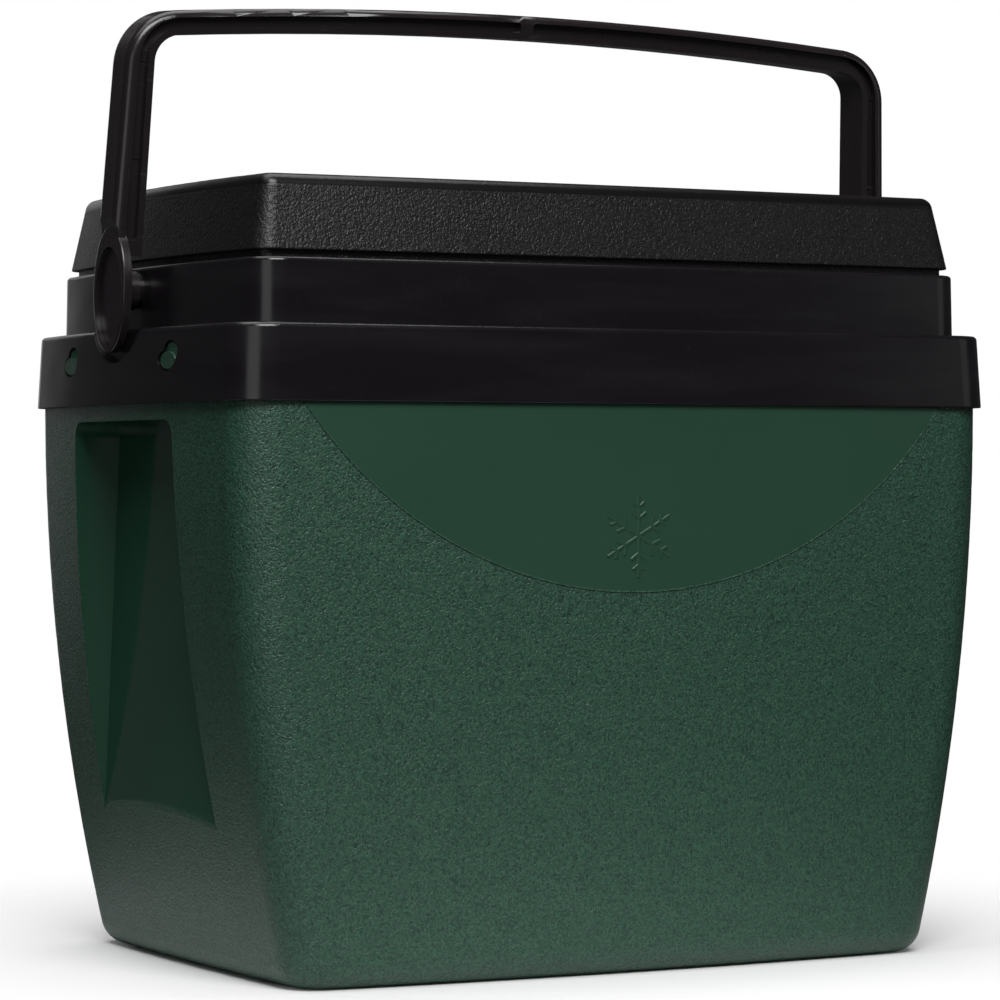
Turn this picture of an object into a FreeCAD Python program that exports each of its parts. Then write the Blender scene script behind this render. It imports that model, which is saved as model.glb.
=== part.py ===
"""Picnic cool box: an insulated plastic chest with a lift-off lid and a swinging carry handle.

Frame: +X along the long side, -Y is the front, +Z up.  The origin is the centre of the footprint, on
the floor.  All values are millimetres.
"""
import FreeCAD, Part
import math
import os

Vector = FreeCAD.Vector
os.makedirs("parts", exist_ok=True)

# ---------------------------------------------------------------------------------------------
# Driving dimensions
# ---------------------------------------------------------------------------------------------
X_AXIS = Vector(1, 0, 0)
past = 5.0                   # how far cutters run past the faces that they open

# Overall: the collar's skirt is the widest ring of the box
collar_length = 461.6
collar_depth = 292.4
body_height = 292.6          # floor to the underside of the collar's skirt
skirt_height = 38.6
riser_height = 32.7          # from the skirt's ledge to the collar's top

# Every ring of the box has the same kind of plan: four gently bowed sides and four round corners
front_bow = 5.8
side_bow = 10.3
corner_radius = 23.0
riser_corner = 18.0

# Walls and fits
shell_wall = 2.4
collar_wall = 2.6
liner_wall = 1.8
lid_wall = 2.4
seat = 0.3                   # gap between pieces that are clipped or laid together
running = 0.08               # radial clearance of the handle on its spigot

# Green outer shell
skirt_ease = 0.2             # added to the fit between the skirt's inner face and the shell
base_inset_side = 39.0       # how far the short sides curve in at the floor
base_inset_front = 1.7
base_front_bow = 10.0
base_side_bow = 3.0
base_round = 15.0
foot_recess = 3.0
foot_width = 22.0
foot_corner = 17.0
profile_steps = 7

# Hand grips sunk into the short sides
grip_top_gap = 8.3           # from the skirt down to the grip's ceiling
grip_half_top = 64.5
grip_half_low = 73.5
grip_low_z = 84.0
grip_depth_top = 25.0        # below the bowed side, at the grip's ceiling
grip_floor_lean = 5.0        # how much further out the grip's floor is at grip_low_z
grip_floor_bow = 3.0
grip_round = 9.0

# Smooth raised panel at the top of the two long sides: a segment of a circle
panel_half_width = 187.0
panel_drop = 96.0
panel_relief = 0.5
panel_gap = 0.5              # below the skirt

# Collar
skirt_draft = 1.8
ledge_side = 11.9
ledge_front = 8.6
riser_draft = 0.5
ledge_round = 2.5
skirt_edge_round = 0.6
rim_round = 2.0

# Clip slots in the skirt, with the shell's clips in them
clip_half_spacing = 64.8
clip_drop = 15.0             # below the ledge
clip_upper_half = 8.0        # half width of the upper lobe
clip_lower_half = 9.9
clip_lobe_height = 5.5       # half height of each lobe
clip_lobe_rise = 2.3         # each lobe's centre above or below the clip's own
clip_upper_shift = 2.9       # towards the front
clip_lower_shift = 1.0       # towards the back
clip_gap = 1.0
clip_step = 1.0              # the upper lobe stands this much lower than the lower one
clip_set_back = 0.4          # behind the skirt's face

# Inner liner
insulation_side = 30.0
insulation_front = 23.0
insulation_base = 27.0
liner_draft = 6.0            # taken off each half width between rim and floor
liner_corner = 24.0
liner_floor_round = 12.0
liner_flange_edge = 4.0      # the flange stops this far inside the riser's wall
liner_flange_corner = 15.0

# Lid
lid_gap = 3.4                # shadow line between collar and lid
lid_height = 38.7
lid_inset = 2.6              # the lid's lower edge, inside the riser's outer face
lid_inset_front = 5.0
lid_draft = 7.3
lid_corner = 10.5
lid_corner_top = 7.5
lid_round = 6.5
lid_edge_round = 0.8
lid_panel_border = 26.0
lid_panel_depth = 1.5
lid_panel_corner = 12.0
lid_step = 3.6               # the lid rests on a step set in from its lower edge
tray_upstand = 1.6           # the inner plate's edge, above the cover's base
plug_gap = 2.0               # between the lid's plug and the liner
plug_depth = 13.6
plug_draft = 2.0

# Carry handle
pivot_height = 20.8          # above the ledge
handle_lean = 4.6            # degrees forward of upright, as it stands by friction
handle_rise = 152.7          # pivot to the top of the bar
crown_radius = 2580.0
bar_thickness = 12.8
arm_thickness = 16.6         # at the arm's foot
handle_width = 23.3
arm_lean = 3.2               # degrees, the arm's outer face
arm_taper = 1.0              # degrees between the arm's outer and inner faces
arm_outer = 5.5              # arm's outer face outside the collar's skirt, at arm_foot
arm_foot = 17.5              # pivot to the arm's lower end, behind the hub
bend_outer = 30.0
bend_inner = 14.5
handle_round = 4.6
pocket_foot = 8.0            # from the arm's lower end up to its pockets
pocket_depth = 4.0           # shallow pockets in front
pocket_floor = 3.0           # wall between the pockets in front and the deep ones behind
pocket_corner = 2.0
pocket_bar_outer = 3.9       # walls around the pockets
pocket_bar_inner = 3.2
pocket_arm_outer = 6.4
pocket_arm_inner = 3.5
bridge = 7.4                 # solid middle of the bar between two pockets
rib_spacing = 50.0
rib_thickness = 1.6
rib_mark = 0.5               # height of the low ribs on the floor of the pockets in front

# Handle hub: an oval paddle with a raised rim, and its pivot
hub_half_width = 20.5
hub_half_height = 32.7
hub_outer = 2.4              # outer face of the rim, outside the collar's skirt
hub_thickness = 5.0
hub_dish = 3.4
hub_rim = 3.2                # around the dish, at its sides and bottom
hub_rim_top = 10.7           # above the dish, over the arm's lower end
hub_edge_round = 1.2
hub_step = 0.3               # the arm's trimmed end stands this far behind the hub's face
hub_slope_low = 1.7          # the arm starts to slope up to its outer face this far below the hub's top
hub_slope = 6.0              # height of that slope
hub_boss_radius = 10.6
hub_web = 2.4
cover_gap = 0.1              # under the cover
cover_margin = 0.2           # around the cover
cover_thickness = 0.9
cover_ring_depth = 1.4
cover_ring_wall = 1.2
boss_radius = 9.6
boss_stand = 2.3             # collar's boss, outside the riser
thrust_gap = 0.4
spigot_radius = 5.0
washer_radius = 7.6
washer_thickness = 1.2
washer_gap = 0.2             # around the screw
counterbore_margin = 1.0     # around the washer
screw_radius = 2.0
screw_gap = 0.05
screw_head_radius = 4.2
screw_head_height = 2.4
screw_head_web = 0.8
screw_socket_radius = 1.6
screw_length = 13.0
screw_tip_gap = 0.3
screw_boss_radius = 5.8
screw_boss_end = 1.0         # closed end of the screw's boss
recess_margin = 5.3          # round recess in the skirt, outside the hub's sweep
recess_floor = 5.0           # recess depth below the skirt's widest line


# ---------------------------------------------------------------------------------------------
# Derived levels and plans
# ---------------------------------------------------------------------------------------------
ledge_z = body_height + skirt_height
rim_z = ledge_z + riser_height
lid_low_z = rim_z + lid_gap
lid_top_z = lid_low_z + lid_height
pivot_z = ledge_z + pivot_height

half_length = collar_length / 2
half_depth = collar_depth / 2
skirt_overhang = collar_wall + seat + skirt_ease


def plan(half_x, half_y, corner=corner_radius, bow_front=front_bow, bow_side=side_bow):
    """A ring's plan: half sizes at mid side, the bows of its sides and its corner radius."""
    return {"hx": half_x, "hy": half_y, "front": bow_front, "side": bow_side, "corner": corner}


def smaller(outer, inset_x, inset_y, corner):
    """A plan set in from another one, with the same bows."""
    return plan(outer["hx"] - inset_x, outer["hy"] - inset_y, corner, outer["front"], outer["side"])


skirt_plan = plan(half_length, half_depth)
ledge_plan = plan(half_length - skirt_draft, half_depth - skirt_draft)
riser_plan = smaller(ledge_plan, ledge_side, ledge_front, riser_corner)
rim_plan = smaller(riser_plan, riser_draft, riser_draft, riser_corner)


def wall_plan(z):
    """Plan of the green shell's outer face at height z, below the skirt."""
    share = ((body_height - z) / body_height) ** 2
    return plan(
        half_length - skirt_overhang - base_inset_side * share,
        half_depth - skirt_overhang - base_inset_front * share,
        corner_radius,
        front_bow + (base_front_bow - front_bow) * share,
        side_bow + (base_side_bow - side_bow) * share,
    )


# ---------------------------------------------------------------------------------------------
# Shape helpers
# ---------------------------------------------------------------------------------------------
def bow_radius(half_span, bow):
    """Radius of an arc that bows by the given amount over its half span."""
    return (half_span**2 + bow**2) / (2 * bow)


def ring(ring_plan, z, inset=0.0):
    """Closed wire of a bowed plan at height z: eight tangent arcs, moved in by inset."""
    hx, hy, corner = ring_plan["hx"], ring_plan["hy"], ring_plan["corner"]
    long_radius = bow_radius(hx, ring_plan["front"])
    short_radius = bow_radius(hy, ring_plan["side"])
    long_centre = Vector(0, hy - long_radius, 0)
    short_centre = Vector(hx - short_radius, 0, 0)
    # the corner's centre lies where both bows, drawn smaller by the corner radius, meet
    a, b = long_radius - corner, short_radius - corner
    gap = short_centre - long_centre
    distance = gap.Length
    along = (a * a - b * b + distance * distance) / (2 * distance)
    across = math.sqrt(a * a - along * along)
    unit = gap * (1 / distance)
    corner_centre = long_centre + unit * along + Vector(-unit.y, unit.x, 0) * across
    if corner_centre.x < 0 or corner_centre.y < 0:
        corner_centre = long_centre + unit * along - Vector(-unit.y, unit.x, 0) * across

    def from_centre(centre, radius, target):
        """The point at a radius from a centre, in the direction of a target point."""
        step = target - centre
        return centre + step * (radius / step.Length)

    on_long = from_centre(long_centre, long_radius - inset, corner_centre)
    on_short = from_centre(short_centre, short_radius - inset, corner_centre)
    middle = (on_long + on_short) * 0.5
    on_corner = from_centre(corner_centre, corner - inset, middle)

    def quadrant(point, sx, sy):
        return Vector(point.x * sx, point.y * sy, z)

    points = [
        (quadrant(on_long, 1, 1), quadrant(on_corner, 1, 1), quadrant(on_short, 1, 1)),
        (quadrant(on_short, 1, 1), Vector(hx - inset, 0, z), quadrant(on_short, 1, -1)),
        (quadrant(on_short, 1, -1), quadrant(on_corner, 1, -1), quadrant(on_long, 1, -1)),
        (quadrant(on_long, 1, -1), Vector(0, inset - hy, z), quadrant(on_long, -1, -1)),
        (quadrant(on_long, -1, -1), quadrant(on_corner, -1, -1), quadrant(on_short, -1, -1)),
        (quadrant(on_short, -1, -1), Vector(inset - hx, 0, z), quadrant(on_short, -1, 1)),
        (quadrant(on_short, -1, 1), quadrant(on_corner, -1, 1), quadrant(on_long, -1, 1)),
        (quadrant(on_long, -1, 1), Vector(0, hy - inset, z), quadrant(on_long, 1, 1)),
    ]
    return Part.Wire([Part.Arc(*three).toShape() for three in points])


def band(low_plan, low_z, high_plan, high_z, inset=0.0):
    """Solid between two plans."""
    return Part.makeLoft([ring(low_plan, low_z, inset), ring(high_plan, high_z, inset)], True, True)


def slab(ring_plan, low_z, high_z, inset=0.0):
    """Solid with one plan all the way up."""
    face = Part.Face(ring(ring_plan, low_z, inset))
    return face.extrude(Vector(0, 0, high_z - low_z))


def edges_at(shape, z):
    """The edges of a shape that lie at height z."""
    near = 0.01
    return [e for e in shape.Edges if abs(e.BoundBox.ZMin - z) < near and abs(e.BoundBox.ZMax - z) < near]


def rod(radius, x_from, x_to, y=0.0, z=0.0):
    """Round bar along X."""
    return Part.makeCylinder(radius, x_to - x_from, Vector(x_from, y, z), X_AXIS)


def oval_face(centre, across, up):
    """Face of an ellipse, given its two half axes as vectors."""
    major, minor = (across, up) if across.Length >= up.Length else (up, across)
    curve = Part.Ellipse(centre + major, centre + minor, centre)
    return Part.Face(Part.Wire([curve.toShape()]))


def oval(half_width, half_height, x_from, x_to, z, y=0.0):
    """Upright oval plate, extruded along X."""
    face = oval_face(Vector(x_from, y, z), Vector(0, half_width, 0), Vector(0, 0, half_height))
    return face.extrude(Vector(x_to - x_from, 0, 0))


def outline_xz(points, y_from, y_to):
    """Solid of a polygon given as (x, z) pairs, extruded along Y."""
    wire = Part.makePolygon([Vector(x, y_from, z) for x, z in points + points[:1]])
    return Part.Face(wire).extrude(Vector(0, y_to - y_from, 0))


def left_of(shape):
    """The same shape on the other short side."""
    return shape.mirror(Vector(0, 0, 0), X_AXIS)


def both_sides(shape):
    """A shape on the +X side with its mirror image on the -X side."""
    return [shape, left_of(shape)]


def fuse(first, others):
    """Union with the leftover seams removed."""
    return first.fuse(others).removeSplitter()


def write(name, shape):
    """Export one node, which has to be closed solids only."""
    solids = shape.Solids
    if not solids or not all(s.isValid() and s.isClosed() and s.Volume > 0 for s in solids):
        raise RuntimeError("not a sound solid: " + name)
    out = solids[0] if len(solids) == 1 else Part.makeCompound(solids)
    out.exportStep("parts/" + name + ".step")
    box = out.BoundBox
    size = "x %.1f..%.1f y %.1f..%.1f z %.1f..%.1f" % (
        box.XMin, box.XMax, box.YMin, box.YMax, box.ZMin, box.ZMax)
    print("%-18s %d solid(s) %9.1f cm3  %s" % (name, len(solids), out.Volume / 1000, size))


# ---------------------------------------------------------------------------------------------
# Outer shell
# ---------------------------------------------------------------------------------------------
shell_rim_z = ledge_z - collar_wall - seat
rim_inset = collar_wall + seat


def shell_body(inset, base_z, rounding, top_z):
    """The curved tub from base_z to top_z, with its faces moved in by inset."""
    heights = [base_z + (body_height - base_z) * i / (profile_steps - 1) for i in range(profile_steps)]
    tub = Part.makeLoft([ring(wall_plan(z), z, inset) for z in heights], True, False)
    tub = tub.makeFillet(rounding, edges_at(tub, base_z))
    share = (top_z - body_height) / skirt_height
    neck_plan = plan(half_length - rim_inset - skirt_draft * share, half_depth - rim_inset - skirt_draft * share)
    neck = band(wall_plan(body_height), body_height, neck_plan, top_z, inset)
    return tub.fuse(neck)


def grip(margin):
    """Cutter for the +X hand grip, larger by margin on every face that it leaves."""
    grip_top = body_height - grip_top_gap
    outside = half_length + 20
    low = grip_low_z - 50

    def section(z):
        share = (grip_top - z) / (grip_top - grip_low_z)
        half = grip_half_top + (grip_half_low - grip_half_top) * share + margin
        floor = half_length - skirt_overhang - grip_depth_top + grip_floor_lean * share - margin
        corners = [Vector(floor - grip_floor_bow, -half, z), Vector(outside, -half, z),
                   Vector(outside, half, z), Vector(floor - grip_floor_bow, half, z)]
        sides = [Part.LineSegment(corners[i], corners[i + 1]).toShape() for i in range(3)]
        floor_arc = Part.Arc(corners[3], Vector(floor, 0, z), corners[0]).toShape()
        return Part.Wire(sides + [floor_arc])

    cutter = Part.makeLoft([section(low), section(grip_top + margin)], True, True)
    top_corners = [e for e in edges_at(cutter, grip_top + margin)
                   if abs(abs(e.CenterOfMass.y) - grip_half_top - margin) < 1]
    return cutter.makeFillet(grip_round + margin, top_corners)


def lobes(x_from, x_to, y, gap, upper_cut=0.0):
    """Two overlapping ovals, the upper one further forward, as a clip and its slot have."""
    middle = ledge_z - clip_drop
    high = clip_lobe_height - gap
    upper = oval(clip_upper_half - gap, high, x_from, x_to - upper_cut, middle + clip_lobe_rise,
                 y - clip_upper_shift)
    lower = oval(clip_lower_half - gap, high, x_from, x_to, middle - clip_lobe_rise, y + clip_lower_shift)
    return upper.fuse(lower)


def skirt_face_x(y):
    """Outer face of the skirt on the +X side at the clips' height."""
    half = half_length - skirt_draft * (skirt_height - clip_drop) / skirt_height
    return half - side_bow * (y / half_depth) ** 2


sunk_radius = hub_half_height + recess_margin
sunk_floor = half_length - recess_floor
sunk_back = sunk_floor - collar_wall

shell = shell_body(0.0, 0.0, base_round, shell_rim_z)
cavity = shell_body(shell_wall, foot_recess + shell_wall, base_round - shell_wall, shell_rim_z + 1)
foot_plan = smaller(wall_plan(0), foot_width, foot_width, foot_corner)
shell = shell.cut(slab(foot_plan, -1, foot_recess))
for cutter in both_sides(grip(0.0)):
    shell = shell.cut(cutter)
for cutter in both_sides(grip(shell_wall)):
    cavity = cavity.cut(cutter)
shell = shell.cut(cavity)
panel_top = body_height - panel_gap
panel_radius = bow_radius(panel_half_width, panel_drop)
for side in (1, -1):
    # a smooth segment, standing slightly proud of the long side
    centre = Vector(0, side * half_depth, panel_top - panel_drop + panel_radius)
    blank = Part.makeCylinder(panel_radius, half_depth / 4, centre, Vector(0, -side, 0))
    blank = blank.common(Part.makeBox(collar_length, collar_depth * 2, body_height,
                                      Vector(-half_length, -collar_depth, panel_top - body_height)))
    skin = shell_body(-panel_relief, 0.0, base_round, shell_rim_z).cut(
        shell_body(shell_wall / 2, shell_wall, base_round - shell_wall, shell_rim_z + 1))
    shell = shell.fuse(blank.common(skin))
clips = []
for y in (-clip_half_spacing, clip_half_spacing):
    clip_root = skirt_face_x(y) - collar_wall - seat - shell_wall / 2
    clip = lobes(clip_root, skirt_face_x(y) - clip_set_back, y, clip_gap, clip_step)
    clips += both_sides(clip)
shell = fuse(shell, clips)
for cutter in both_sides(rod(sunk_radius + collar_wall + seat, sunk_back - seat, half_length, 0, pivot_z)):
    shell = shell.cut(cutter)
write("outer_shell", shell)

# ---------------------------------------------------------------------------------------------
# Collar: skirt, ledge and riser in one moulding, with the handle's bosses
# ---------------------------------------------------------------------------------------------
skirt = band(skirt_plan, body_height, ledge_plan, ledge_z)
skirt_solid = skirt.makeFillet(ledge_round, edges_at(skirt, ledge_z))
skirt_solid = skirt_solid.makeFillet(skirt_edge_round, edges_at(skirt_solid, body_height))
riser = band(riser_plan, ledge_z - collar_wall, rim_plan, rim_z)
riser = riser.makeFillet(rim_round, edges_at(riser, rim_z))

liner_plan = smaller(wall_plan(body_height), shell_wall + insulation_side,
                     shell_wall + insulation_front, liner_corner)
inside_low = band(skirt_plan, body_height - 1, ledge_plan, ledge_z - collar_wall, collar_wall)
inside_high = band(riser_plan, ledge_z - 2 * collar_wall, rim_plan, rim_z - collar_wall, collar_wall)
mouth = slab(liner_plan, body_height, rim_z + 1, liner_wall)

riser_x = riser_plan["hx"] - riser_draft * pivot_height / riser_height
boss_face = riser_x + boss_stand
spigot_end = boss_face + thrust_gap + hub_web + thrust_gap
screw_tip = spigot_end + washer_thickness - screw_length
for cup in both_sides(rod(sunk_radius + collar_wall, sunk_back, half_length + past, 0, pivot_z)):
    inside_low = inside_low.cut(cup)
for screw_boss in both_sides(rod(screw_boss_radius, screw_tip - screw_boss_end, half_length, 0, pivot_z)):
    inside_high = inside_high.cut(screw_boss)
for sunk in both_sides(rod(sunk_radius, sunk_floor, half_length + past, 0, pivot_z)):
    skirt_solid = skirt_solid.cut(sunk)
collar = skirt_solid.fuse(riser).cut(inside_low).cut(inside_high).cut(mouth)
boss = rod(boss_radius, riser_x - collar_wall / 2, boss_face, 0, pivot_z)
spigot = rod(spigot_radius, boss_face - 0.5, spigot_end, 0, pivot_z)
collar = fuse(collar, both_sides(boss.fuse(spigot)))
cuts = both_sides(rod(screw_radius + screw_gap, screw_tip - screw_tip_gap, spigot_end + past, 0, pivot_z))
for y in (-clip_half_spacing, clip_half_spacing):
    cuts += both_sides(lobes(skirt_face_x(y) - 2 * collar_wall, half_length + past, y, 0.0))
for cutter in cuts:
    collar = collar.cut(cutter)
write("collar", collar)

# ---------------------------------------------------------------------------------------------
# Inner liner, hung from its flange under the collar's rim
# ---------------------------------------------------------------------------------------------
flange_top = rim_z - collar_wall - seat
flange_low = flange_top - liner_wall
floor_plan = smaller(liner_plan, liner_draft, liner_draft, liner_corner)
liner_floor_z = foot_recess + shell_wall + insulation_base


def tub(inset, low_z, high_z):
    """The liner's tapered tub, with its faces moved in by inset."""
    shape = band(floor_plan, low_z, liner_plan, high_z, inset)
    return shape.makeFillet(liner_floor_round - inset, edges_at(shape, low_z))


flange_inset = collar_wall + liner_flange_edge
flange_plan = smaller(rim_plan, flange_inset, flange_inset, liner_flange_corner)
liner = tub(0.0, liner_floor_z, flange_top).fuse(slab(flange_plan, flange_low, flange_top))
liner = liner.cut(tub(liner_wall, liner_floor_z + liner_wall, flange_top + 0.01)).removeSplitter()
write("inner_liner", liner)

# ---------------------------------------------------------------------------------------------
# Foam between shell and liner
# ---------------------------------------------------------------------------------------------
foam_low = foot_recess + shell_wall + seat
foam_shoulder = ledge_z - collar_wall - seat
foam_inset = shell_wall + seat
foam = shell_body(foam_inset, foam_low, base_round - foam_inset, foam_shoulder)
for cutter in both_sides(grip(foam_inset)):
    foam = foam.cut(cutter)
for cutter in both_sides(rod(sunk_radius + collar_wall + seat, sunk_back - seat, half_length, 0, pivot_z)):
    foam = foam.cut(cutter)
foam = foam.fuse(band(riser_plan, foam_shoulder - 5, rim_plan, flange_low - seat, collar_wall + seat))
tub_hole = tub(-seat, liner_floor_z - seat, flange_top)
foam = foam.cut(tub_hole)
foam_bore_end = screw_tip - screw_boss_end - seat
for cutter in both_sides(rod(screw_boss_radius + seat, foam_bore_end, half_length, 0, pivot_z)):
    foam = foam.cut(cutter)
write("body_insulation", foam)

# ---------------------------------------------------------------------------------------------
# Lid: grained cover, foam slab and white inner plate with its plug
# ---------------------------------------------------------------------------------------------
lid_low_plan = smaller(rim_plan, lid_inset - riser_draft, lid_inset_front - riser_draft, lid_corner)
lid_top_plan = smaller(lid_low_plan, lid_draft, lid_draft, lid_corner_top)


def lid_block(inset, low_z, top_z):
    """The lid's outer form with its faces moved in by inset and its top edge rounded."""
    block = band(lid_low_plan, lid_low_z, lid_top_plan, lid_top_z, inset)
    block = block.common(slab(lid_low_plan, low_z, top_z))
    return block.makeFillet(lid_round - inset, edges_at(block, top_z))


step_plan = smaller(lid_low_plan, lid_step, lid_step, lid_corner - lid_step)
lid_rest_z = rim_z + seat
lid_base_z = lid_low_z + lid_wall
lid_inside_z = lid_top_z - lid_panel_depth - lid_wall

lid_cover = lid_block(0.0, lid_low_z, lid_top_z)
lid_cover = lid_cover.makeFillet(lid_edge_round, edges_at(lid_cover, lid_low_z))
lid_cover = lid_cover.fuse(slab(step_plan, lid_rest_z, lid_base_z))
lid_cover = lid_cover.cut(lid_block(lid_wall, lid_base_z, lid_inside_z))
lid_cover = lid_cover.cut(slab(step_plan, lid_rest_z - 1, lid_base_z + 1, lid_wall))
panel_plan = smaller(lid_top_plan, lid_panel_border, lid_panel_border, lid_panel_corner)
lid_cover = lid_cover.cut(slab(panel_plan, lid_top_z - lid_panel_depth, lid_top_z + 1))
write("lid_cover", lid_cover)

tray_inset = lid_wall + seat
tray_top = lid_base_z + tray_upstand
plug_plan = smaller(liner_plan, liner_wall + plug_gap, liner_wall + plug_gap, liner_corner - plug_gap)
plug_low_plan = smaller(plug_plan, plug_draft, plug_draft, liner_corner - plug_gap)
plug_low_z = lid_rest_z - plug_depth
plate_top = lid_rest_z + liner_wall

tray = slab(step_plan, lid_rest_z, tray_top, tray_inset)
tray = tray.cut(slab(step_plan, plate_top, tray_top + 1, tray_inset + liner_wall))
tray = tray.fuse(band(plug_low_plan, plug_low_z, plug_plan, lid_rest_z + liner_wall / 2))
tray = tray.cut(band(plug_low_plan, plug_low_z + liner_wall, plug_plan, plate_top + 1, liner_wall))
write("lid_liner", tray.removeSplitter())

foam_low_z = plate_top + seat
foam_inset = tray_inset + liner_wall + seat
lid_foam = lid_block(lid_wall + seat, tray_top + seat, lid_inside_z - seat)
lid_foam = lid_foam.fuse(slab(step_plan, foam_low_z, tray_top + 2, foam_inset))
plug_fill = band(plug_low_plan, plug_low_z + liner_wall + seat, plug_plan, foam_low_z + 1, liner_wall + seat)
write("lid_insulation", fuse(lid_foam, [plug_fill]))

# ---------------------------------------------------------------------------------------------
# Carry handle: a pocketed bail with an oval hub at the foot of each arm
# ---------------------------------------------------------------------------------------------
lean = math.radians(arm_lean)
inner_lean = math.radians(arm_lean - arm_taper)
arm_x = half_length + arm_outer          # outer face at the arm's foot
foot_z = pivot_z + arm_foot
top_z = pivot_z + handle_rise
half_width = handle_width / 2


def arch_edges(foot_x, tilt, crown_r, crown_z, bend_r, low_z, y):
    """Right arm, bend, crowned bar, bend and left arm as tangent edges, right foot first."""
    centre = Vector(0, y, crown_z - crown_r)
    # inward unit normal of the right arm and a point on it
    normal = Vector(-math.cos(tilt), 0, -math.sin(tilt))
    up = Vector(-math.sin(tilt), 0, math.cos(tilt))
    foot = Vector(foot_x - math.tan(tilt) * (low_z - foot_z), y, low_z)
    start = foot + normal * bend_r - centre
    # walk up the arm until the bend's centre is crown_r - bend_r away from the crown's centre
    reach = crown_r - bend_r
    half_b = start.dot(up)
    travel = -half_b + math.sqrt(half_b**2 - start.dot(start) + reach**2)
    bend_centre = foot + normal * bend_r + up * travel
    arm_end = bend_centre - normal * bend_r
    to_bend = bend_centre - centre
    bar_end = centre + to_bend * (crown_r / to_bend.Length)
    outward = (arm_end - bend_centre) + (bar_end - bend_centre)
    mid_bend = bend_centre + outward * (bend_r / outward.Length)

    def other(point):
        return Vector(-point.x, point.y, point.z)

    return [
        Part.LineSegment(foot, arm_end).toShape(),
        Part.Arc(arm_end, mid_bend, bar_end).toShape(),
        Part.Arc(bar_end, Vector(0, y, crown_z), other(bar_end)).toShape(),
        Part.Arc(other(bar_end), other(mid_bend), other(arm_end)).toShape(),
        Part.LineSegment(other(arm_end), other(foot)).toShape(),
    ], foot


def bail(bar_walls, arm_walls, low_z, y_from, y_to):
    """Solid between the bail's outer and inner faces, moved in by (outer, inner) walls."""
    outer, foot_out = arch_edges(arm_x - arm_walls[0] / math.cos(lean), lean, crown_radius - bar_walls[0],
                                 top_z - bar_walls[0], bend_outer - arm_walls[0], low_z, y_from)
    crown_drop = bar_thickness - bar_walls[1]
    inner, foot_in = arch_edges(arm_x - (arm_thickness - arm_walls[1]) / math.cos(lean), inner_lean,
                                crown_radius - crown_drop, top_z - crown_drop, bend_inner + arm_walls[1],
                                low_z, y_from)
    ends = []
    for sign in (1, -1):
        a = Vector(sign * foot_out.x, y_from, low_z)
        b = Vector(sign * foot_in.x, y_from, low_z)
        ends.append(Part.LineSegment(a, b).toShape())
    wire = Part.Wire(Part.__sortEdges__(outer + inner + ends))
    return Part.Face(wire).extrude(Vector(0, y_to - y_from, 0))


def outer_edges(shape):
    """The long edges of the bail's outer face."""
    out = []
    for e in shape.Edges:
        box = e.BoundBox
        if box.YLength > 0.01 or box.ZMax < foot_z + 1:
            continue
        mid = e.valueAt((e.FirstParameter + e.LastParameter) / 2)
        limit = arm_x - math.tan(lean) * (mid.z - foot_z)
        on_arm = abs(abs(mid.x) - limit) < 0.5
        on_bar = mid.z > top_z - bar_thickness / 2 and abs(mid.x) < 1
        on_bend = box.XLength > 15 and box.ZLength > bend_outer * 0.7
        if on_arm or on_bar or on_bend:
            out.append(e)
    return out


def across(x, width, y_from, y_to):
    """Block across the bar, centred on x."""
    return Part.makeBox(width, y_to - y_from, handle_rise / 2, Vector(x - width / 2, y_from, top_z - handle_rise / 2))


def rib_blocks(y_from, y_to):
    """Thin blocks across the bar and the arms, one rib spacing apart."""
    blocks = []
    for i in range(1, int((half_length - 60) / rib_spacing) + 1):
        blocks += both_sides(across(i * rib_spacing, rib_thickness, y_from, y_to))
    for i in range(1, int((handle_rise - arm_foot - bend_outer) / rib_spacing) + 1):
        level = foot_z + i * rib_spacing
        blocks.append(Part.makeBox(2 * arm_x, y_to - y_from, rib_thickness, Vector(-arm_x, y_from, level)))
    return blocks


handle = bail((0.0, 0.0), (0.0, 0.0), foot_z, -half_width, half_width)
handle = handle.makeFillet(handle_round, outer_edges(handle))
bar_walls = (pocket_bar_outer, pocket_bar_inner)
arm_walls = (pocket_arm_outer, pocket_arm_inner)
front_floor = pocket_depth - half_width
back_floor = front_floor + pocket_floor
for y_from, y_to, rib_from, rib_to in (
        (-half_width, front_floor, front_floor - rib_mark, front_floor),
        (back_floor, half_width, back_floor, half_width)):
    pocket = bail(bar_walls, arm_walls, foot_z + pocket_foot, y_from, y_to)
    pocket = pocket.cut(across(0, bridge, y_from, y_to))
    ends = [e for e in pocket.Edges if e.BoundBox.YLength > (y_to - y_from) * 0.9
            and (abs(abs(e.CenterOfMass.x) - bridge / 2) < 0.01
                 or abs(e.CenterOfMass.z - foot_z - pocket_foot) < 0.01)]
    pocket = pocket.makeFillet(pocket_corner, ends)
    for rib in rib_blocks(rib_from, rib_to):
        pocket = pocket.cut(rib)
    handle = handle.cut(pocket)

# the arms' outer faces slope down to the hubs
rim_x = half_length + hub_outer
trim_x = rim_x - hub_step
slope_low_z = pivot_z + hub_half_height - hub_slope_low
slope_out = arm_x - math.tan(lean) * (slope_low_z + hub_slope - foot_z) - trim_x
trim_rise = hub_slope * (arm_x + past - trim_x) / slope_out
trim = outline_xz([(trim_x, foot_z - past), (trim_x, slope_low_z), (arm_x + past, slope_low_z + trim_rise),
                   (arm_x + past, foot_z - past)], -handle_width, handle_width)
for cutter in both_sides(trim):
    handle = handle.cut(cutter)

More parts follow.
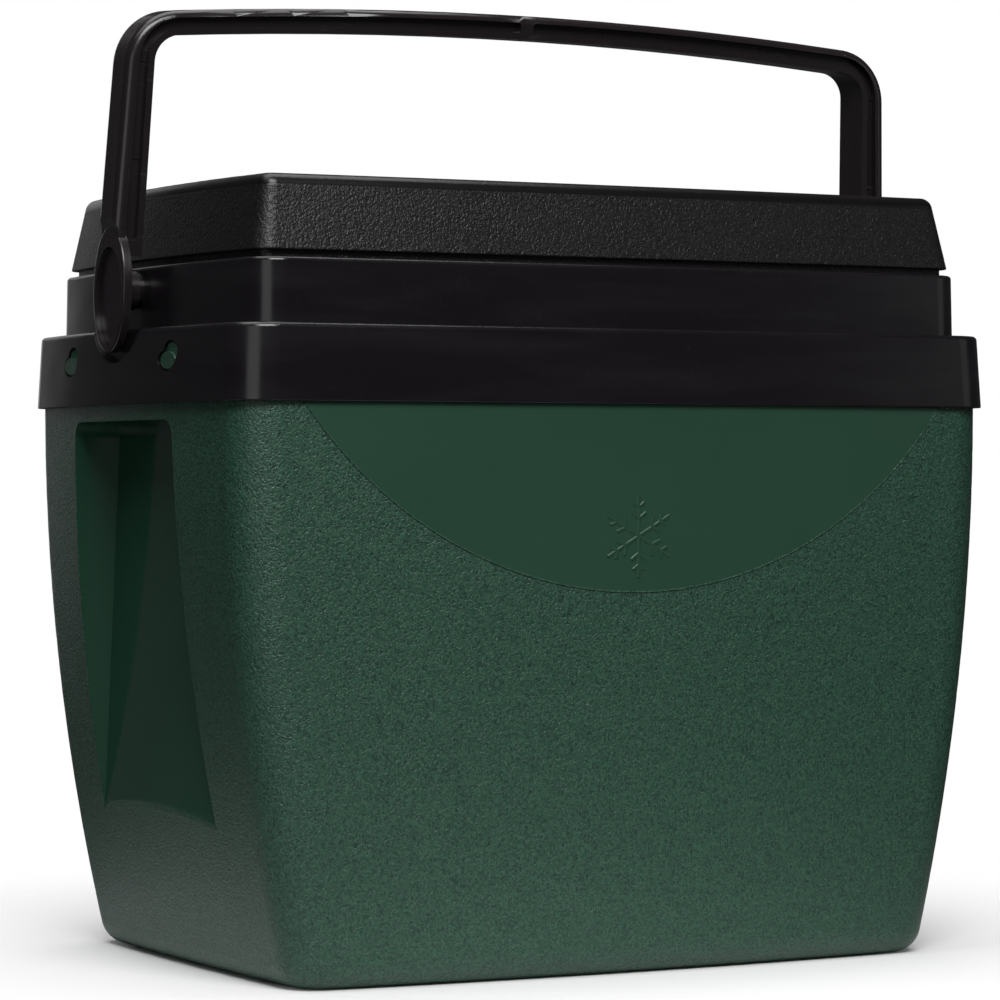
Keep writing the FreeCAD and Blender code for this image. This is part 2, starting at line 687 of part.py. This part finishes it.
plate_x = rim_x - hub_thickness
dish_x = rim_x - hub_dish
web_x = boss_face + thrust_gap
dish_half_width = hub_half_width - hub_rim
dish_half_height = hub_half_height - (hub_rim + hub_rim_top) / 2
dish_z = pivot_z - (hub_rim_top - hub_rim) / 2
hub = oval(hub_half_width, hub_half_height, plate_x, rim_x, pivot_z)
hub = hub.makeFillet(hub_edge_round, [e for e in hub.Edges if abs(e.BoundBox.XMin - rim_x) < 0.01
                                      and abs(e.BoundBox.XMax - rim_x) < 0.01])
inner_boss = rod(hub_boss_radius, web_x, plate_x + 0.5, 0, pivot_z)
handle = fuse(handle, both_sides(hub) + both_sides(inner_boss))
counterbore = washer_radius + counterbore_margin
for cutter in (oval(dish_half_width, dish_half_height, dish_x, arm_x, dish_z),
               rod(spigot_radius + running, web_x - past, arm_x, 0, pivot_z),
               rod(counterbore, web_x + hub_web, arm_x, 0, pivot_z)):
    for side_cutter in both_sides(cutter):
        handle = handle.cut(side_cutter)

handle.rotate(Vector(0, 0, pivot_z), X_AXIS, handle_lean)
write("carry_handle", handle)

# ---------------------------------------------------------------------------------------------
# Pivot hardware on each side
# ---------------------------------------------------------------------------------------------
cover_x = dish_x + cover_gap
cover = oval(dish_half_width - cover_margin, dish_half_height - cover_margin, cover_x,
             cover_x + cover_thickness, dish_z)
ring_radius = counterbore - cover_margin
ring_end = cover_x - cover_ring_depth
locating = rod(ring_radius, ring_end, cover_x + cover_thickness / 2, 0, pivot_z)
locating = locating.cut(rod(ring_radius - cover_ring_wall, ring_end - past, cover_x, 0, pivot_z))
cover = fuse(cover, [locating])
head_x = spigot_end + washer_thickness
washer = rod(washer_radius, spigot_end, head_x, 0, pivot_z)
washer = washer.cut(rod(screw_radius + washer_gap, spigot_end - past, head_x + past, 0, pivot_z))
screw = rod(screw_radius, screw_tip, head_x + screw_head_height / 2, 0, pivot_z).fuse(
    rod(screw_head_radius, head_x, head_x + screw_head_height, 0, pivot_z))
screw = screw.cut(rod(screw_socket_radius, head_x + screw_head_web, head_x + past, 0, pivot_z)).removeSplitter()
for side_name, on_side in (("right", lambda s: s.copy()), ("left", left_of)):
    side_cover = on_side(cover)
    side_cover.rotate(Vector(0, 0, pivot_z), X_AXIS, handle_lean)
    write("hub_cover_" + side_name, side_cover)
    write("pivot_washer_" + side_name, on_side(washer))
    write("pivot_screw_" + side_name, on_side(screw))
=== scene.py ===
# %% [markdown]
# # A picnic cool box, from its frame to its finishes
# The real object is an insulated box: a grained green shell, a black collar that clips over it, a lift-off
# lid and a carry handle that swings over the top. The frame brings every moulding at its true size and place.
# What is left for this file is how each of them looks: leather grain, gloss, slow sinks, dust and rubs, one
# raised sign on the front, and the studio that the box stands in.

# %% Load the frame
import math

import bpy
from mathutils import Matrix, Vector


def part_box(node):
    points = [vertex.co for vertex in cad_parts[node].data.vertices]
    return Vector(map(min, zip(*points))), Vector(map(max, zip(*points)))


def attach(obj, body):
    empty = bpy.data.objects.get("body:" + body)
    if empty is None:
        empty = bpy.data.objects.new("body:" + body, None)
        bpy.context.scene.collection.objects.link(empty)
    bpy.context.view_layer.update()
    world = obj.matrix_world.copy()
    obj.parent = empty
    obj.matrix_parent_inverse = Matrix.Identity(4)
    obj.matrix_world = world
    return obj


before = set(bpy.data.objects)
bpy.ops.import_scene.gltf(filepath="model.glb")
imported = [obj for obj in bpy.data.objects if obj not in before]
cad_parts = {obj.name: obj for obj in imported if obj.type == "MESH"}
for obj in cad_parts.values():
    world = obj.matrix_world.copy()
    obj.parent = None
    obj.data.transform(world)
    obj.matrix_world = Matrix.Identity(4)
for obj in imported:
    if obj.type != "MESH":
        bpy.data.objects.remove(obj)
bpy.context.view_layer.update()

mm = 0.001

# %% [markdown]
# ## The camera
# The camera stands well back with a long lens, as for a catalogue, so the box keeps its true proportions. It
# looks from the front left, at the height of the box's middle. It is tilted down by only half a degree,
# because a larger tilt would lean the upright lines, and a small lens shift does the rest of the framing.

# %% Camera
view_azimuth = math.radians(-28.0)
view_distance = 2.171
camera_height = 0.2521
aim_height = 0.2313
lens_length = 143.8
sensor_width = 36.0
shift_right = -0.00706
shift_up = 0.02139
nearest_seen = 0.1
farthest_seen = 50.0

camera_data = bpy.data.cameras.new("studio_camera")
camera_data.lens = lens_length
camera_data.sensor_width = sensor_width
camera_data.shift_x = shift_right
camera_data.shift_y = shift_up
camera_data.clip_start = nearest_seen
camera_data.clip_end = farthest_seen
camera = bpy.data.objects.new("studio_camera", camera_data)
bpy.context.scene.collection.objects.link(camera)
camera_x = math.sin(view_azimuth) * view_distance
camera_y = -math.cos(view_azimuth) * view_distance
camera.location = (camera_x, camera_y, camera_height)
aim = Vector((0, 0, aim_height)) - camera.location
camera.rotation_euler = aim.to_track_quat("-Z", "Y").to_euler()
bpy.context.scene.camera = camera
bpy.context.scene.view_settings.view_transform = "Standard"
print("camera is", round(aim.length, 3), "m from the box")

# %% [markdown]
# ## The studio
# Dark gloss plastic is lit by what it mirrors more than by what falls on it. A big soft key light stands high
# in front, and a wide low glow draws the near corner. Two weaker fills lift the left and the right side. A
# narrow panel behind the box edges it with sheen, and a large softbox overhead lights the ledges. The air
# between them is dim, so that the black stays black.

# %% Lights
lit_point = Vector((0, 0, 0.22))


def softbox(name, azimuth, elevation, distance, width, height, power):
    """A soft rectangular light that faces the box. Azimuth 0 is in front of the box and -90 to its left."""
    turn = math.radians(azimuth)
    rise = math.radians(elevation)
    away = Vector((math.sin(turn) * math.cos(rise), -math.cos(turn) * math.cos(rise), math.sin(rise)))
    data = bpy.data.lights.new(name, "AREA")
    data.shape = "RECTANGLE"
    data.size = width
    data.size_y = height
    data.energy = power
    lamp = bpy.data.objects.new(name, data)
    bpy.context.scene.collection.objects.link(lamp)
    lamp.location = lit_point + away * distance
    lamp.rotation_euler = (-away).to_track_quat("-Z", "Y").to_euler()
    lamp.visible_camera = False
    print(name, "shines with", power, "W")


softbox("key_softbox", azimuth=-17, elevation=42, distance=2.4, width=1.5, height=1.0, power=54)
softbox("left_fill", azimuth=-78, elevation=58, distance=2.4, width=1.0, height=1.0, power=8)
softbox("corner_glow", azimuth=-46, elevation=4, distance=2.0, width=0.95, height=1.1, power=3.8)
softbox("right_fill", azimuth=52, elevation=12, distance=3.0, width=1.2, height=1.6, power=2.6)
softbox("back_panel", azimuth=-179, elevation=12, distance=2.4, width=0.9, height=1.5, power=2.6)
softbox("top_softbox", azimuth=180, elevation=84, distance=2.2, width=1.8, height=1.6, power=30)

# %% [markdown]
# The background is white to the camera and dim to everything else, which is what a lit paper roll far
# behind the box does in a studio. One world can do both: a Light Path node tells a ray from the camera
# apart from a ray that has already met the box.

# %% World
air_for_the_eye = (1, 1, 1, 1)
air_for_the_box = (0.045, 0.043, 0.045, 1)

world = bpy.data.worlds.new("studio_air")
bpy.context.scene.world = world
world.use_nodes = True
air = world.node_tree
air.nodes.clear()
white_air = air.nodes.new("ShaderNodeBackground")
white_air.inputs["Color"].default_value = air_for_the_eye
dim_air = air.nodes.new("ShaderNodeBackground")
dim_air.inputs["Color"].default_value = air_for_the_box
seen_by = air.nodes.new("ShaderNodeLightPath")
choose = air.nodes.new("ShaderNodeMixShader")
world_out = air.nodes.new("ShaderNodeOutputWorld")
air.links.new(seen_by.outputs["Is Camera Ray"], choose.inputs["Fac"])
air.links.new(dim_air.outputs[0], choose.inputs[1])
air.links.new(white_air.outputs[0], choose.inputs[2])
air.links.new(choose.outputs[0], world_out.inputs["Surface"])
print("the air gives the box", round(air_for_the_box[0] * 100, 1), "% of the white that the camera sees")

# %% [markdown]
# ## Writing a finish as sums
# A finish is a web of small nodes. Written out one by one they hide the idea, so a socket is wrapped in a
# class that knows plus, minus, times and the rest, and each sum adds its own Math node. The reflected forms,
# such as the one for 1 - mask, let a plain number stand on the left.

# %% Shader maths
class Value:
    """A number that changes over the surface, held by one output socket."""

    def __init__(self, tree, socket):
        self.tree = tree
        self.socket = socket

    def math(self, operation, *operands, clamp=False):
        """Add a Math node and feed it values or plain numbers."""
        node = self.tree.nodes.new("ShaderNodeMath")
        node.operation = operation
        node.use_clamp = clamp
        for place, operand in zip(node.inputs, operands):
            if isinstance(operand, Value):
                self.tree.links.new(operand.socket, place)
            else:
                place.default_value = operand
        return Value(self.tree, node.outputs[0])

    def __add__(self, other):
        return self.math("ADD", self, other)

    def __radd__(self, other):
        return self.math("ADD", other, self)

    def __sub__(self, other):
        return self.math("SUBTRACT", self, other)

    def __rsub__(self, other):
        return self.math("SUBTRACT", other, self)

    def __mul__(self, other):
        return self.math("MULTIPLY", self, other)

    def __rmul__(self, other):
        return self.math("MULTIPLY", other, self)

    def __truediv__(self, other):
        return self.math("DIVIDE", self, other)

    def __rtruediv__(self, other):
        return self.math("DIVIDE", other, self)

    def __abs__(self):
        return self.math("ABSOLUTE", self)

    def power(self, exponent):
        return self.math("POWER", self, exponent)

    def larger(self, other):
        return self.math("MAXIMUM", self, other)

    def rises(self, low, high):
        """0 below low and 1 above high, with a straight ramp between."""
        return self.math("DIVIDE", self - low, high - low, clamp=True)


# %% [markdown]
# A material is then one Finish: a Principled shader, the position on the piece in its own coordinates, and a
# few ways to make patterns from that position. Object coordinates are used throughout, so that a pattern
# moves with its piece when the lid lifts or the handle swings.

# %% Finishes
class Finish:
    """One material, built around a Principled shader."""

    def __init__(self, name, **fixed):
        self.material = bpy.data.materials.new(name)
        self.material.use_nodes = True
        self.tree = self.material.node_tree
        self.shader = self.tree.nodes["Principled BSDF"]
        for label, value in fixed.items():
            self.shader.inputs[label].default_value = value
        self.position = self.node("TexCoord", output="Object")
        axes = self.tree.nodes.new("ShaderNodeSeparateXYZ")
        self.tree.links.new(self.position.socket, axes.inputs[0])
        self.x, self.y, self.z = [Value(self.tree, socket) for socket in axes.outputs]

    def node(self, kind, settings=(), inputs=(), output=0):
        """Add a node: its settings first, then the values or links of its sockets."""
        made = self.tree.nodes.new("ShaderNode" + kind)
        for name, value in dict(settings).items():
            setattr(made, name, value)
        for place, value in dict(inputs).items():
            if isinstance(value, Value):
                self.tree.links.new(value.socket, made.inputs[place])
            else:
                made.inputs[place].default_value = value
        return Value(self.tree, made.outputs[output])

    def stretched(self, x, y, z):
        """The position with its axes scaled: the smaller a scale, the longer the pattern along that axis."""
        return self.node("Mapping", inputs={"Vector": self.position, "Scale": (x, y, z)})

    def noise(self, scale, detail=2.0, roughness=0.5, distortion=0.0, vector=None):
        sockets = {"Vector": vector or self.position, "Scale": scale, "Detail": detail,
                   "Roughness": roughness, "Distortion": distortion}
        return self.node("TexNoise", inputs=sockets)

    def pebbles(self, scale, smoothness):
        """Cells that are 0 in their middles and run into one another softly."""
        sockets = {"Vector": self.position, "Scale": scale, "Smoothness": smoothness}
        return self.node("TexVoronoi", {"feature": "SMOOTH_F1"}, sockets)

    def bead_edges(self, scale):
        """0 where two pressed beads meet, and larger towards their middles."""
        sockets = {"Vector": self.position, "Scale": scale}
        return self.node("TexVoronoi", {"feature": "DISTANCE_TO_EDGE"}, sockets)

    def tint(self, share, low, high):
        """A colour between two others. A Mix node's sockets 6 and 7 are the colours, and 0 is the share."""
        return self.node("Mix", {"data_type": "RGBA"}, {0: share, 6: low, 7: high}, output=2)

    def set(self, label, value):
        self.tree.links.new(value.socket, self.shader.inputs[label])

    def relief(self, layers):
        """Chain Bump nodes: each layer is a height field and its depth in metres."""
        normal = None
        for height, depth in layers:
            sockets = {"Height": height, "Distance": depth, "Strength": 1.0}
            if normal is not None:
                sockets["Normal"] = normal
            normal = self.node("Bump", inputs=sockets)
        self.set("Normal", normal)


def dress(names, finish):
    """Give CAD nodes or new pieces a finish through their material slots."""
    for name in names:
        piece = bpy.data.objects[name]
        if not piece.material_slots:
            piece.data.materials.append(finish.material)
        for each in piece.material_slots:
            each.material = finish.material
    print(finish.material.name, "has", len(finish.tree.nodes), "nodes and is on", ", ".join(names))


# %% [markdown]
# The floor is the first finish: a small disc of pale paper, a little uneven. It fades to nothing before its
# rim, close round the box, because a wide bright floor would be mirrored in the green walls and grey them.

# %% Floor
floor_radius = 0.6
fade_start = 0.20
fade_end = 0.52
fade_curve = 1.6
paper_shade = (0.93, 0.93, 0.93, 1)
paper_light = (0.96, 0.96, 0.96, 1)

bpy.ops.object.select_all(action="DESELECT")
bpy.ops.mesh.primitive_circle_add(vertices=96, radius=floor_radius, fill_type="NGON", location=(0, 0, 0))
floor = bpy.context.object
floor.name = "studio_floor"
paper = Finish("floor_paper", Roughness=0.75)
paper_far = (paper.x.power(2) + paper.y.power(2)).power(0.5)
paper.set("Base Color", paper.tint(paper.noise(scale=6.0, detail=4.0), paper_shade, paper_light))
paper.set("Alpha", (1.0 - paper_far.rises(fade_start, fade_end)).power(fade_curve))
paper.relief([(paper.noise(scale=900.0), 0.00002)])
dress(["studio_floor"], paper)

# %% [markdown]
# ## The green shell
# The shell is one moulding with three surfaces. Most of it is etched with a fine leather grain, which
# hides flow lines and scatters the light. The segment of a circle at the top of each long side is left
# smooth, and the hand grips are polished, because they are the mould's moving cores. One material holds all
# three, since they meet inside one mesh, so the first step works out which surface a point is on. That
# follows from its place: the segment from its outline, and the grip from how far it lies behind the curved
# wall. Each mask turns over within a millimetre or two, which keeps its edge clean but not jagged.

# %% Where the shell is smooth, polished or etched
shell_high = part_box("outer_shell")[1]
skirt_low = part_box("collar")[0].z
wall_x = shell_high.x
wall_y = shell_high.y

panel_half_width = 187 * mm
panel_drop = 96 * mm
panel_outline = (-0.4 * mm, 0.2 * mm)
long_side_depth = (9 * mm, 8.5 * mm)

side_sweep = 39 * mm
side_bow_high = 10.3 * mm
side_bow_low = 3.0 * mm
grip_depth = (0.25 * mm, 0.9 * mm)
grip_side = (77 * mm, 79 * mm)
grip_foot = (78 * mm, 80 * mm)
grip_head = (285 * mm, 286 * mm)

green = Finish("grained_green", IOR=1.46)
panel_radius = (panel_half_width**2 + panel_drop**2) / (2 * panel_drop)
panel_centre = skirt_low - panel_drop + panel_radius
from_centre = (green.x.power(2) + (green.z - panel_centre).power(2)).power(0.5)
outside_panel = from_centre.rises(panel_radius + panel_outline[0], panel_radius + panel_outline[1])
on_long_side = abs(green.y).rises(wall_y - long_side_depth[0], wall_y - long_side_depth[1])
panel = (1.0 - outside_panel) * on_long_side

below_skirt = ((skirt_low - green.z) / skirt_low).power(2)
bow = side_bow_high + below_skirt * (side_bow_low - side_bow_high)
wall_here = wall_x - below_skirt * side_sweep - bow * (green.y / wall_y).power(2)
behind_wall = wall_here - abs(green.x)
in_grip_width = 1.0 - abs(green.y).rises(*grip_side)
in_grip_height = green.z.rises(*grip_foot) * (1.0 - green.z.rises(*grip_head))
grip = behind_wall.rises(*grip_depth) * in_grip_width * in_grip_height
etched = 1.0 - panel.larger(grip)
print("the smooth segment is part of a circle of", round(panel_radius / mm, 1), "mm radius")

# %% [markdown]
# A leather grain is etched into the mould with acid, which leaves short wandering worms and, between them,
# rounded pebbles. Distorted noise with its contrast raised gives the worms, and softened cells the pebbles.
# The lid uses the same grain at another size, so it is a function.

# %% Leather grain
worm_share = 0.6
pebble_share = 0.4
shell_worm_scale = 800.0
shell_pebble_scale = 720.0


def leather_grain(finish, worm_scale, pebble_scale):
    """The worms of the grain, and the height of worms and pebbles together."""
    worms = finish.noise(worm_scale, detail=0.5, roughness=0.4, distortion=1.2).rises(0.30, 0.70)
    pebbles = 1.0 - finish.pebbles(pebble_scale, smoothness=0.35).rises(0.15, 0.75)
    return worms, worms * worm_share + pebbles * pebble_share


worms, grain_height = leather_grain(green, shell_worm_scale, shell_pebble_scale)
leather = grain_height * etched
print("the shell's worms are about", round(1 / (shell_worm_scale * mm), 2), "mm apart")

# %% [markdown]
# The shell's colour is a deep bottle green that drifts slowly between two shades, with painted shade in the
# hollows of the grain and a painted highlight on its ridges, and a few chalky scuffs. The grain is what makes
# it
# rough: the smooth segment is nearly as matte, but without sparkle, and the polished grips shine.

# %% Shell colour and gloss
deep_green = (0.0140, 0.0500, 0.0300, 1)
fresh_green = (0.0170, 0.0590, 0.0360, 1)
chalky_green = (0.034, 0.072, 0.052, 1)
# The next two colours are painted shade for the grain's hollows and a painted highlight for its ridges.
shaded_hollow_green = (0.0050, 0.0240, 0.0150, 1)
lit_ridge_green = (0.0350, 0.1020, 0.0670, 1)
painted_grain_shade_share = 0.72
scuff_strength = 0.25
grain_roughness = 0.43
panel_roughness = 0.40
grip_roughness = 0.07
sink_depth = 0.4 * mm
grain_depth = 0.34 * mm

wander = green.noise(scale=180.0, detail=1.0)
cloudy = green.noise(scale=9.0, detail=3.0, roughness=0.6)
scuffs = green.noise(scale=60.0, detail=6.0, roughness=0.7).rises(0.62, 0.80) * etched
body_colour = green.tint(cloudy, deep_green, fresh_green)
# The worms tint the etched shell between painted shade in the hollows and a painted highlight on the ridges.
grain_shading_colour = green.tint(worms, shaded_hollow_green, lit_ridge_green)
body_with_painted_grain_shade = green.tint(etched * painted_grain_shade_share, body_colour, grain_shading_colour)
green.set("Base Color", green.tint(scuffs * scuff_strength, body_with_painted_grain_shade, chalky_green))

etched_rough = grain_roughness + (wander - 0.5) * 0.06 + scuffs * 0.08 - leather * 0.06
panel_rough = panel_roughness + (cloudy - 0.5) * 0.06
grip_rough = grip_roughness + green.noise(scale=40.0, detail=3.0) * 0.04
green.set("Roughness", etched * etched_rough + panel * panel_rough + (1.0 - panel) * grip * grip_rough)

slow_sinks = green.noise(scale=14.0, detail=1.0)
green.relief([(slow_sinks, sink_depth), (leather, grain_depth)])
dress(["outer_shell"], green)

# %% [markdown]
# ## The sign on the front
# A snowflake is the usual sign for keeping things cold. It stands half a millimetre proud on the smooth
# segment of the front, in the same green, with rounded strokes as a mould's engraving leaves them. Each
# stroke is a straight curve with a round bevel, which is easier to place by angle than faces are. The six
# arms and their barbs are one loop.

# %% Strokes of the snowflake
flake_radius = 21 * mm
stroke = 1.05 * mm
barbs = [(0.42, 0.26), (0.70, 0.20)]  # how far out along the arm, and how long, as shares of the radius
barb_angle = math.pi / 3.4

flake_curve = bpy.data.curves.new("snowflake", "CURVE")
flake_curve.dimensions = "3D"
flake_curve.bevel_depth = stroke
flake_curve.bevel_resolution = 4
flake_curve.use_fill_caps = True


def draw_stroke(start, end):
    """A straight stroke between two (x, z) points."""
    spline = flake_curve.splines.new("POLY")
    spline.points.add(1)
    for point, (x, z) in zip(spline.points, (start, end)):
        point.co = (x, 0, z, 1)


def on_arm(turn, along, aside=0.0, out=0.0):
    """A point on an arm, or reached from it at a slant. along and out are shares of the flake's radius."""
    reach = along * flake_radius
    slant = turn + aside
    return (math.sin(turn) * reach + math.sin(slant) * out * flake_radius,
            math.cos(turn) * reach + math.cos(slant) * out * flake_radius)


for arm in range(6):
    turn = arm * math.pi / 3
    draw_stroke((0, 0), on_arm(turn, 1.0))
    for along, length in barbs:
        for aside in (-barb_angle, barb_angle):
            draw_stroke(on_arm(turn, along), on_arm(turn, along, aside, length))
print("the snowflake has", len(flake_curve.splines), "strokes")

# %% [markdown]
# A curve can't ride on a body, so it becomes a mesh. A ray from in front finds the wall, the strokes are
# flattened to the height that they stand proud, and the place and scale are applied, so that the finished
# mesh sits in the box's own coordinates as the frame's pieces do.

# %% Snowflake on the front
flake_height = 225.0 * mm
proud = 0.5 * mm

flake = bpy.data.objects.new("front_snowflake", flake_curve)
bpy.context.scene.collection.objects.link(flake)
bpy.ops.object.select_all(action="DESELECT")
flake.select_set(True)
bpy.context.view_layer.objects.active = flake
bpy.ops.object.convert(target="MESH")
flake = bpy.context.object
hit, place, _, _ = bpy.data.objects["outer_shell"].ray_cast(Vector((0, -1, flake_height)), Vector((0, 1, 0)))
print("front wall found:", hit, "at y =", round(place.y / mm, 2), "mm")
flake.scale = (1, proud / stroke, 1)
flake.location = place
bpy.ops.object.transform_apply(location=True, rotation=True, scale=True)
bpy.ops.object.shade_smooth()

smooth_green = Finish("smooth_green", IOR=1.46)
flake_cloud = smooth_green.noise(scale=30.0, detail=3.0)
smooth_green.set("Base Color", smooth_green.tint(flake_cloud, deep_green, fresh_green))
smooth_green.set("Roughness", 0.30 + flake_cloud * 0.10)
smooth_green.relief([(smooth_green.noise(scale=900.0), 0.01 * mm)])
dress(["front_snowflake"], smooth_green)
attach(flake, "box")

# %% [markdown]
# ## The collar
# A gloss black moulding. Gloss shows what grain hides: slow waves where the plastic shrank over its ribs,
# faint flow streaks that run round it and pale its colour as a painted sheen, and a little dust and a few
# hairline rubs all over.

# %% Collar finish
collar_black = (0.0058, 0.0048, 0.0060, 1)
# A grey for real dust, also used as a painted sheen along the streaks.
collar_dust_and_sheen = (0.018, 0.017, 0.018, 1)
dust_share = 0.4
painted_sheen_share = 0.3
gloss_roughness = 0.17
wave_depth = 1.4 * mm

gloss = Finish("gloss_black", IOR=1.46)
streak_place = gloss.stretched(x=0.25, y=0.25, z=2.0)
streaks_and_sheen = gloss.noise(scale=30.0, detail=3.0, distortion=0.4, vector=streak_place)
wave_place = gloss.stretched(x=0.6, y=0.6, z=1.6)
waves = gloss.noise(scale=11.0, vector=wave_place)
rub_place = gloss.stretched(x=0.05, y=0.05, z=1.0)
hairlines = gloss.noise(scale=400.0, detail=4.0, roughness=0.7, vector=rub_place).rises(0.60, 0.75)
dust = gloss.noise(scale=250.0, detail=5.0, roughness=0.75).rises(0.58, 0.80)
# The dust is real. The streaks' share pales the black as a painted sheen, and in the bump and roughness they
# are real surface.
dust_and_painted_sheen = dust * dust_share + streaks_and_sheen.rises(0.45, 0.75) * painted_sheen_share
gloss.set("Base Color", gloss.tint(dust_and_painted_sheen, collar_black, collar_dust_and_sheen))
gloss.set("Roughness", gloss_roughness + streaks_and_sheen * 0.10 + hairlines * 0.05 + dust * 0.06)
gloss.relief([(waves, wave_depth), (streaks_and_sheen, 0.16 * mm), (hairlines, 0.004 * mm)])
dress(["collar"], gloss)

# %% [markdown]
# ## The lid
# The lid has the same leather grain as the shell, in black and a little coarser, so it reads as matte next
# to the collar, with the same painted shade in the grain's hollows and painted highlight on its ridges. Its
# rounded top edge is left smooth, which draws a soft line of light along it.

# %% Lid finish
rounded_below_top = (6.6 * mm, 5.6 * mm)
edge_band = 16 * mm
edge_soft = 0.5 * mm
# The next two colours are painted shade for the grain's hollows and a painted highlight for its ridges.
lid_shaded_hollow = (0.0036, 0.0031, 0.0034, 1)
lid_lit_ridge = (0.0092, 0.0078, 0.0086, 1)
lid_rubbed = (0.020, 0.018, 0.019, 1)
rub_strength = 0.25
edge_roughness = 0.28
grain_adds = 0.11
lid_grain_depth = 0.23 * mm

lid = Finish("grained_black", IOR=1.38)
lid_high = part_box("lid_cover")[1]
rounded = lid.z.rises(lid_high.z - rounded_below_top[0], lid_high.z - rounded_below_top[1])
near_side = abs(lid.x) - (lid_high.x - edge_band)
near_front = abs(lid.y) - (lid_high.y - edge_band)
near_edge = near_side.larger(near_front).rises(-edge_soft, edge_soft)
lid_etched = 1.0 - rounded * near_edge
lid_worms, lid_grain_height = leather_grain(lid, worm_scale=640.0, pebble_scale=600.0)
lid_cloudy = lid.noise(scale=8.0, detail=3.0)
lid_rubs = lid.noise(scale=55.0, detail=6.0, roughness=0.7).rises(0.60, 0.80) * lid_etched
# The worms tint the grained lid between painted shade in the hollows and a painted highlight on the ridges.
lid_grain_shading_colour = lid.tint(lid_worms * lid_etched, lid_shaded_hollow, lid_lit_ridge)
lid.set("Base Color", lid.tint(lid_rubs * rub_strength, lid_grain_shading_colour, lid_rubbed))
lid_rough = edge_roughness + lid_etched * grain_adds
lid.set("Roughness", lid_rough + (lid_cloudy - 0.5) * 0.08 + lid_rubs * 0.06)
lid_sinks = lid.noise(scale=12.0, detail=1.0)
lid.relief([(lid_sinks, 0.5 * mm), (lid_grain_height * lid_etched, lid_grain_depth)])
dress(["lid_cover"], lid)

# %% [markdown]
# ## The handle and its hub covers
# A satin black moulding, handled every day: its bar is polished a little by hands, and fine scratches run
# along it.

# %% Handle finish
polish_below_top = (40 * mm, 5 * mm)
handle_black = (0.0115, 0.0090, 0.0106, 1)
handle_scratched = (0.034, 0.030, 0.032, 1)
scratch_strength = 0.4
satin_roughness = 0.25
hand_polish = 0.06

satin = Finish("satin_black", IOR=1.46)
handle_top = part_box("carry_handle")[1].z
handled = satin.z.rises(handle_top - polish_below_top[0], handle_top - polish_below_top[1])
satin_cloud = satin.noise(scale=25.0, detail=3.0)
scratch_place = satin.stretched(x=0.1, y=1.0, z=0.6)
scratches = satin.noise(scale=300.0, detail=4.0, roughness=0.7, vector=scratch_place).rises(0.60, 0.72)
satin.set("Base Color", satin.tint(scratches * scratch_strength, handle_black, handle_scratched))
satin_rough = satin_roughness - handled * hand_polish
satin.set("Roughness", satin_rough + (satin_cloud - 0.5) * 0.10 + scratches * 0.06)
satin.relief([(satin_cloud, 0.3 * mm), (satin.noise(scale=1500.0), 0.02 * mm)])
dress(["carry_handle", "hub_cover_left", "hub_cover_right"], satin)

# %% [markdown]
# ## Inside the box
# The liner and the lid's inner plate are plain white food-grade plastic, with a few grey marks of use.

# %% Liner finish
liner_white = (0.80, 0.81, 0.80, 1)
liner_marked = (0.70, 0.70, 0.68, 1)
mark_strength = 0.5
liner_roughness = 0.26

white = Finish("liner_white_gloss", IOR=1.49)
white_cloud = white.noise(scale=12.0, detail=4.0)
white_marks = white.noise(scale=220.0, detail=5.0, roughness=0.7).rises(0.62, 0.80)
white.set("Base Color", white.tint(white_marks * mark_strength, liner_white, liner_marked))
white.set("Roughness", liner_roughness + white_cloud * 0.10 + white_marks * 0.12)
white.relief([(white_cloud, 0.4 * mm), (white.noise(scale=900.0), 0.01 * mm)])
dress(["inner_liner", "lid_liner"], white)

# %% [markdown]
# Foam is pressed from beads: a pattern of cells, a little darker and lower where two beads meet.

# %% Foam finish
bead_seam = (0.62, 0.62, 0.61, 1)
bead_white = (0.90, 0.90, 0.89, 1)

foam = Finish("bead_foam", IOR=1.3, Roughness=0.85)
beads = foam.bead_edges(scale=260.0)
foam.set("Base Color", foam.tint(beads.rises(0.0, 0.12), bead_seam, bead_white))
foam.relief([(beads.rises(0.0, 0.25), 0.4 * mm)])
dress(["body_insulation", "lid_insulation"], foam)

# %% [markdown]
# The pivot screws and washers are zinc-plated steel. They are turned on a lathe, so fine rings run round
# their shanks: the pattern is short along the pivot and long across it.

# %% Steel finish
zinc_dark = (0.52, 0.52, 0.50, 1)
zinc_light = (0.66, 0.67, 0.66, 1)
zinc_roughness = 0.28

steel = Finish("zinc_plated_steel", Metallic=1.0)
turned_place = steel.stretched(x=1.0, y=0.1, z=0.1)
turned = steel.noise(scale=700.0, detail=3.0, roughness=0.6, vector=turned_place)
steel.set("Base Color", steel.tint(turned, zinc_dark, zinc_light))
steel.set("Roughness", zinc_roughness + turned * 0.2)
steel.relief([(turned, 0.03 * mm)])
dress([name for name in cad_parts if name.startswith("pivot_")], steel)
